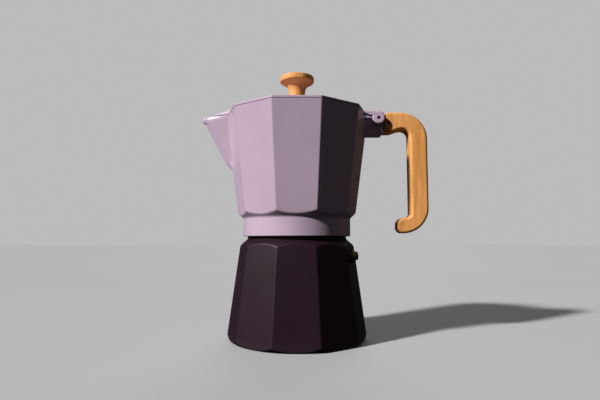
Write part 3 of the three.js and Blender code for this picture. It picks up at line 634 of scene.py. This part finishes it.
def spout_radius(thetas, z, shrink):
    """Distance from the axis to the spout's side, per angle and height; 0 where it has none."""
    z = np.broadcast_to(z, thetas.shape)
    foot = KEEL_Z[0] + shrink
    tip_x = np.interp(z - shrink, KEEL_Z, KEEL_X) - shrink * 1.1
    tip_r = np.interp(z, [foot, 135, 166, RIM + 1], [0.9, 1.3, 2.3, 1.6]) - shrink * 0.45
    tip_r = np.maximum(tip_r, 0.35)
    root = 0.9 + (SPOUT_HALF - 0.9) * (z - foot) / (RIM - foot) - shrink * 0.6
    root = np.maximum(root, tip_r)
    centre = tip_x - tip_r
    phi = np.abs(thetas - PI)
    slope = (tip_r - root) / np.maximum(centre - SPOUT_ROOT_X, 0.5)
    side = (root - SPOUT_ROOT_X * slope) / np.maximum(np.tan(phi) - slope, 1e-4) / np.cos(phi)
    tip = round_end(phi, tip_x, tip_r)
    reach = np.where(tip > 0, np.minimum(side, tip), side)
    reach = np.minimum(reach, tip_x)
    if not shrink:
        swell = BEAD_R ** 2 - (z - BEAD_Z) ** 2
        bead = round_end(phi, BEAD_X + np.sqrt(np.maximum(swell, 0)), BEAD_TIP_R)
        reach = np.where(swell > 0, smooth_max(reach, bead, 0.5), reach)
    return np.where((z > foot) & (phi < 0.5), reach, 0)


def upper_chamber():
    """The ten-sided chamber with its spout, waist, threaded collar and bracket."""
    near_spout = 180 + np.arange(-15, 15.01, 0.3)
    thetas = facet_angles(near_spout)
    outline = unit_outline(thetas)

    def facet_r(z, inset=0):
        return outline * (UPPER_R - inset + UPPER_TAPER * z)

    def outside(z):
        blend = np.clip((z - KEEL_Z[0]) * 0.1, 0.4, 1.6)
        return smooth_max(facet_r(z), spout_radius(thetas, z, 0), blend)

    def inside(z):
        inset = WALL / APOTHEM
        return smooth_max(facet_r(z, inset), spout_radius(thetas, z, 2.0), 1.0)

    waist = (COLLAR_TOP / CONE_SLOPE - COLLAR_R + outline * UPPER_R) / (
        1 / CONE_SLOPE - outline * UPPER_TAPER)
    corners = [(COLLAR_R, COLLAR_Z, 0.6), (COLLAR_R, COLLAR_TOP, 1.2), (facet_r(waist), waist, 1.0)]
    levels = np.concatenate([np.linspace(0.05, 0.5, 8), np.linspace(0.52, 0.88, 32),
                             np.linspace(0.885, 0.992, 30)])
    for t in levels:
        z = waist + (RIM - waist) * t
        corners.append((outside(z), z, 0))
    corners += [(outside(RIM), RIM, 0.5), (inside(RIM), RIM, 0.4)]
    inset = WALL / APOTHEM
    cone_r, cone_z = COLLAR_R - 1.5, CHAMBER_FLOOR
    meet = (cone_z / CONE_SLOPE - cone_r + outline * (UPPER_R - inset)) / (
        1 / CONE_SLOPE - outline * UPPER_TAPER)
    for t in levels[::-1]:
        z = meet + (RIM - meet) * t
        corners.append((inside(z), z, 0))
    corners += [(facet_r(meet, inset), meet, 1.5), (cone_r, cone_z, 2.0), (13.3, 96, 0.3),
                (13.3, 94.1, 0.1), (15.8, 94.1, 0.1), (15.8, 92.4, 0.1), (31.9, 92.4, 0.1),
                (31.9, 91.3, 0.1), (37, 91.3, 0.3), (37, 86.9, 0.3), (COLLAR_BORE_R, 85.9, 0.3),
                (COLLAR_BORE_R, 77, 0.3), (38.7, COLLAR_Z, 0.3)]
    piece = lofted("chamber_shell", thetas, corners, UPPER_PAINT, closed=True)
    boolean(piece, bracket(), "UNION")
    ridge = helix_ridge("collar_ridge", COLLAR_BORE_R, 36.8, -PI, 1.6, THREAD_Z, UPPER_PAINT)
    boolean(piece, ridge, "UNION")
    return settle_shading(piece)


def bracket():
    """The block that carries the hinge and the handle, with the hinge's knuckle and hole."""
    root_x, root_top, low, end = 50.2, 167.2, 154.0, 66.2
    corner_r, block_edge, tongue_edge = 1.8, 0.9, 0.4
    outline = [(root_x, low + 0.6), (root_x + 1.3, low)]
    outline += arc(end - corner_r, low + corner_r, corner_r, -90, 0, 6)
    outline += arc(PIN_X, PIN_Z, EYE_R, -25.8, 161.8, 24)
    outline += [(root_x, root_top)]
    piece = slab("bracket_block", outline, -HANDLE_HALF, HANDLE_HALF, block_edge, UPPER_PAINT)
    tongue = slab("bracket_tongue", box_outline(62, TONGUE_END, TONGUE_LOW, TONGUE_HIGH),
                  -TONGUE_HALF, TONGUE_HALF, tongue_edge, UPPER_PAINT, 2)
    boolean(piece, tongue, "UNION")
    for x, z in ((PIN_X, PIN_Z), (HANDLE_PIN_X, HANDLE_PIN_Z)):
        boolean(piece, cross_bar("bracket_hole", x, z, PIN_HOLE_R, THROUGH), "DIFFERENCE")
    return piece


# ------------------------------------------------------------------ lid
BEAK_START, BEAK_END, BEAK_END_HALF = 25.0, 64.2, 4.6
# The beak's ridge, as distance from the axis and height, from its tip inward.
BEAK = np.array([[BEAK_END, 170.0], [52.4, 175.1], [38.0, 176.8], [BEAK_START, 177.2]])
LID_SKIN = 2.0


def beak_half(x):
    """Half the beak's width at a distance from the axis."""
    return np.interp(x, [BEAK_START, 38, SPOUT_ROOT_X, BEAK_END],
                     [0.6, 8.6, SPOUT_HALF, BEAK_END_HALF])


def lid_height(x, y, outline):
    """Height of the lid's top at a point: the ten-sided roof, or the beak over the spout."""
    slope = (ROOF_TOP - LID_EDGE_TOP) / (LID_R - LID_SEAT_R)
    reach = np.hypot(x, y) / outline
    roof = LID_EDGE_TOP + (LID_R - reach) * slope
    crest = np.interp(-x, BEAK[::-1, 0], BEAK[::-1, 1])
    side = np.interp(-x, [BEAK_START, 40, SPOUT_ROOT_X, BEAK_END],
                     [174.5, 171, LID_EDGE_TOP, 169.4])
    soft = 0.8
    across = np.sqrt(y * y + soft * soft) - soft
    beak = crest - (crest - side) * across / beak_half(-x)
    beak = np.where(-x > BEAK_START - 1, beak, 0)
    return np.maximum(smooth_max(roof, beak, 0.7), LID_Z + 0.4)


def lid_outline(thetas):
    """Distance from the axis to the lid's edge, round the beak too."""
    plain = unit_outline(thetas) * LID_R
    phi = np.abs(thetas - PI)
    slope = (BEAK_END_HALF - SPOUT_HALF) / (BEAK_END - SPOUT_ROOT_X)
    side = (SPOUT_HALF - SPOUT_ROOT_X * slope) / np.maximum(np.tan(phi) - slope, 1e-4)
    side = side / np.cos(phi)
    end = BEAK_END / np.cos(phi)
    beak = np.where(phi < 0.5, -smooth_max(-side, -end, 0.8), 0)
    return smooth_max(plain, beak, 0.8)


def lid():
    """The ten-sided lid with its beak, its lip inside the chamber and its two ears."""
    thetas = facet_angles(180 + np.arange(-15, 15.01, 0.4))
    outline = unit_outline(thetas)
    edge = lid_outline(thetas)
    cos, sin = np.cos(thetas), np.sin(thetas)
    screw_hole_r = 2.4

    def top(r):
        return lid_height(r * cos, r * sin, outline)

    seat_r = LID_SEAT_R * APOTHEM
    corners = [(screw_hole_r, LID_TOP, 0.1), (seat_r, LID_TOP, 0.25),
               (seat_r + 0.15, ROOF_TOP - 0.05, 0)]
    inner = LID_SEAT_R * outline + 0.3
    for t in np.concatenate([np.linspace(0, 0.3, 6), np.linspace(0.33, 0.985, 40)]):
        r = inner + (edge - inner) * t
        corners.append((r, top(r), 0))
    corners += [(edge, top(edge), 0.5), (edge, LID_Z, 0.35)]
    lip_r = UPPER_R + UPPER_TAPER * RIM - WALL / APOTHEM - 0.4
    # The lip stops short on both sides of the spout, 0.21 rad from its middle.
    spout_side = np.clip((np.abs(thetas - PI) - 0.21) / 0.015, 0, 1)
    lip_low = LID_Z - 3 * spout_side
    corners += [(outline * lip_r, LID_Z, 0.2), (outline * (lip_r - 0.3), lip_low, 0.3),
                (outline * (lip_r - 1.6), lip_low, 0.3)]
    for t in np.linspace(0.0, 0.94, 24):
        r = outline * (lip_r - 1.7) * (1 - t)
        z = top(r) - LID_SKIN
        corners.append((r, np.maximum(z, LID_Z), 0))
    corners += [(screw_hole_r, ROOF_TOP - LID_SKIN, 0.1)]
    piece = lofted("lid_shell", thetas, corners, UPPER_PAINT, closed=True)
    for side in (-1, 1):
        boolean(piece, ear(side), "UNION")
    boolean(piece, cross_bar("ear_hole", PIN_X, PIN_Z, PIN_HOLE_R, THROUGH), "DIFFERENCE")
    return settle_shading(piece)


def ear(side):
    """A hinge ear: an arm, the round eye it ends in, and a squared flange on its inner side."""
    root_x, top, arm_bottom, chamfer = 45, 171.8, 167.5, 1.6
    inner, outer, flange_outer = 7.3, 11.95, 8.0
    underside = [(root_x, top), (root_x, LID_Z + 0.4), (52.6, LID_Z + 0.2), (55.2, arm_bottom)]
    arm = underside + arc(PIN_X, PIN_Z, EYE_R - 0.5, 158, 445, 40)
    flange = underside + arc(PIN_X, PIN_Z, EYE_R, 160, 360, 28)
    flange += [(PIN_X + EYE_R, top - chamfer), (PIN_X + EYE_R - chamfer, top)]
    low, high = sorted((side * inner, side * outer))
    piece = slab("ear", arm, low, high, 0.5, UPPER_PAINT, 3)
    low, high = sorted((side * inner, side * flange_outer))
    boolean(piece, slab("ear_flange", flange, low, high, 0.15, UPPER_PAINT, 2), "UNION")
    eye_half, eye_middle, eye_edge = 2.35, 9.65, 1.3
    eye = cross_bar("ear_eye", PIN_X, PIN_Z, EYE_R, eye_half, UPPER_PAINT, eye_edge, 72)
    eye.data.transform(Matrix.Translation((0, side * eye_middle * MM, 0)))
    return boolean(piece, eye, "UNION")


# ------------------------------------------------------------------ handle and knob
def handle_outline():
    """The handle seen from the side: top bar, grip and the short hook at its lower end."""
    start, top, out = 67.0, 171.2, 99.7
    grip_in, hook_end, hook_top, bottom = 86.1, 75.9, 90.4, 78.5
    under_start, under_end = 155.6, 158.1
    finger_r, hook_inner_r, hook_upper_r, hook_lower_r = 5.5, 3.2, 5.5, 4.2
    heel_r, shoulder_r, front_r = 19.4, 20.4, 3.0
    flat_end = start + 3.5
    under_run = grip_in - finger_r - flat_end
    points = [(start, under_start)]
    for t in np.linspace(0, 1, 9)[:-1]:
        points.append((flat_end + under_run * t,
                       under_start + (under_end - under_start) * (1 - math.cos(PI * t)) / 2))
    points += arc(grip_in - finger_r, under_end - finger_r, finger_r, 90, 0, 14)
    points += arc(grip_in - hook_inner_r, hook_top + hook_inner_r, hook_inner_r, 0, -90, 10)
    points += arc(hook_end + hook_upper_r, hook_top - hook_upper_r, hook_upper_r, 90, 180, 16)
    points += arc(hook_end + hook_lower_r, bottom + hook_lower_r, hook_lower_r, 180, 270, 14)
    points += arc(out - heel_r, bottom + heel_r, heel_r, -90, 0, 30)
    points += arc(out - shoulder_r, top - shoulder_r, shoulder_r, 0, 90, 30)
    points += arc(start + front_r, top - front_r, front_r, 90, 180, 8)
    kept = [points[0]]
    for point in points[1:]:
        if math.dist(point, kept[-1]) > 0.1:
            kept.append(point)
    return kept


def handle():
    """The wooden handle, slotted for the bracket's tongue and drilled for its pin."""
    piece = slab("handle_grip", handle_outline(), -HANDLE_HALF, HANDLE_HALF, HANDLE_EDGE,
                 WOOD, 8)
    slot_outline = box_outline(60, TONGUE_END + SLOT_GAP, TONGUE_LOW - SLOT_GAP,
                               TONGUE_HIGH + SLOT_GAP)
    slot_half = TONGUE_HALF + SLOT_GAP
    slot = slab("handle_slot", slot_outline, -slot_half, slot_half, SLIVER, WOOD, 1)
    boolean(piece, slot, "DIFFERENCE")
    hole = cross_bar("handle_hole", HANDLE_PIN_X, HANDLE_PIN_Z, PIN_HOLE_R, THROUGH)
    boolean(piece, hole, "DIFFERENCE")
    return settle_shading(piece, 40)


def knob():
    """The turned knob: a straight stem that flares into a thick disc."""
    low, top = 181.3, 201.0
    corners = [(0, low, 0), (6.2, low, 0.25), (6.2, 187, 1), (6.35, 189.2, 1), (6.9, 191.3, 1),
               (7.9, 193.1, 1), (9.6, 194.6, 1), (11.4, 195.5, 0.8), (12.9, 196.3, 0.5),
               (13.25, 196.9, 0.4), (13.25, 199.8, 0.7), (12.6, 200.7, 0.6), (6, top, 1),
               (0, top, 0)]
    return settle_shading(turned("knob_turned", corners, WOOD, 128))


# ------------------------------------------------------------------ assembly
place(boiler(), "base", "base_paint", "boiler")
place(valve_nut(), "base", "brass", "valve_body")
place(funnel(), "base", "aluminium", "funnel")
place(gasket(), "seal", "rubber", "gasket")
place(riser(), "top", "aluminium", "riser_column")
place(upper_chamber(), "top", "upper_paint", "upper_chamber")
place(handle(), "top", "wood", "handle")
place(lid(), "lid", "upper_paint", "lid")
place(knob(), "lid", "wood", "knob")
for name, x, z, half in (("hinge_pin", PIN_X, PIN_Z, HINGE_PIN_HALF),
                         ("handle_pin", HANDLE_PIN_X, HANDLE_PIN_Z, HANDLE_PIN_HALF)):
    pin = cross_bar(name + "_turned", x, z, PIN_R, half, PIN_STEEL_PAINTED_SHADE, PIN_EDGE)
    place(settle_shading(pin), "top", "steel", name)
SURFACES = {
    "valve_cap": BRASS, "valve_plunger": BRASS, "valve_spring": STEEL,
    "funnel_strainer": ALUMINIUM, "filter_plate": ALUMINIUM,
    "knob_washer": STEEL, "knob_screw": STEEL,
}
for node, surface in SURFACES.items():
    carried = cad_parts[node]
    carried.data.materials.clear()
    carried.data.materials.append(surface)

# ------------------------------------------------------------------ stage, light, camera
FLOOR_SIZE = 12
bpy.ops.mesh.primitive_plane_add(size=FLOOR_SIZE, location=(0, 0, 0))
floor = bpy.context.object
floor.name = "floor"
floor.data.materials.append(floor_material())
floor.visible_diffuse = False
floor.visible_glossy = False


def sun_light(name, azimuth, elevation, strength, spread_deg, color):
    """Parallel light, even over the floor. Azimuth runs from the camera's side to the spout's."""
    lamp = bpy.data.lights.new(name, "SUN")
    lamp.energy = strength
    lamp.angle = math.radians(spread_deg)
    lamp.color = color
    holder = bpy.data.objects.new(name, lamp)
    bpy.context.scene.collection.objects.link(holder)
    turn, rise = math.radians(azimuth), math.radians(elevation)
    toward = Vector((-math.sin(turn) * math.cos(rise), -math.cos(turn) * math.cos(rise),
                     math.sin(rise)))
    holder.rotation_euler = toward.to_track_quat("Z", "Y").to_euler()


sun_light("key", azimuth=55.5, elevation=33.5, strength=5.3, spread_deg=5,
          color=(1.0, 0.98, 0.97))
sun_light("back", azimuth=185, elevation=38, strength=0.6, spread_deg=40,
          color=(0.95, 0.97, 1.0))

world = bpy.data.worlds.new("studio")
world.use_nodes = True
tree = world.node_tree
up = add(tree, "ShaderNodeSeparateXYZ", {0: add(tree, "ShaderNodeTexCoord").outputs["Generated"]})
glow = spread(tree, up.outputs["Z"], 0.018, 0.085, -0.2, 0.6)
dim = tree.nodes["Background"]
dim.inputs["Color"].default_value = (0.86, 0.9, 0.96, 1)
tree.links.new(glow, dim.inputs["Strength"])
backdrop = add(tree, "ShaderNodeBackground", {"Color": (0.5, 0.5, 0.505, 1), "Strength": 1.0})
ray = add(tree, "ShaderNodeLightPath")
either = add(tree, "ShaderNodeMixShader", {
    0: ray.outputs["Is Camera Ray"], 1: dim.outputs[0], 2: backdrop.outputs[0]})
tree.links.new(either.outputs[0], tree.nodes["World Output"].inputs["Surface"])
bpy.context.scene.world = world
bpy.context.scene.view_settings.view_transform = "Standard"

CAMERA_X, CAMERA_DISTANCE, CAMERA_HEIGHT = 2.33, 358.15, 73.6
CAMERA_PITCH = 0.0849
LENS, SENSOR_WIDTH = 28.05, 36
camera = bpy.data.cameras.new("camera")
camera.lens = LENS
camera.sensor_width = SENSOR_WIDTH
camera.clip_start = 0.01
viewer = bpy.data.objects.new("camera", camera)
bpy.context.scene.collection.objects.link(viewer)
viewer.location = (CAMERA_X * MM, -CAMERA_DISTANCE * MM, CAMERA_HEIGHT * MM)
viewer.rotation_euler = (PI / 2 + CAMERA_PITCH, 0, 0)
bpy.context.scene.camera = viewer
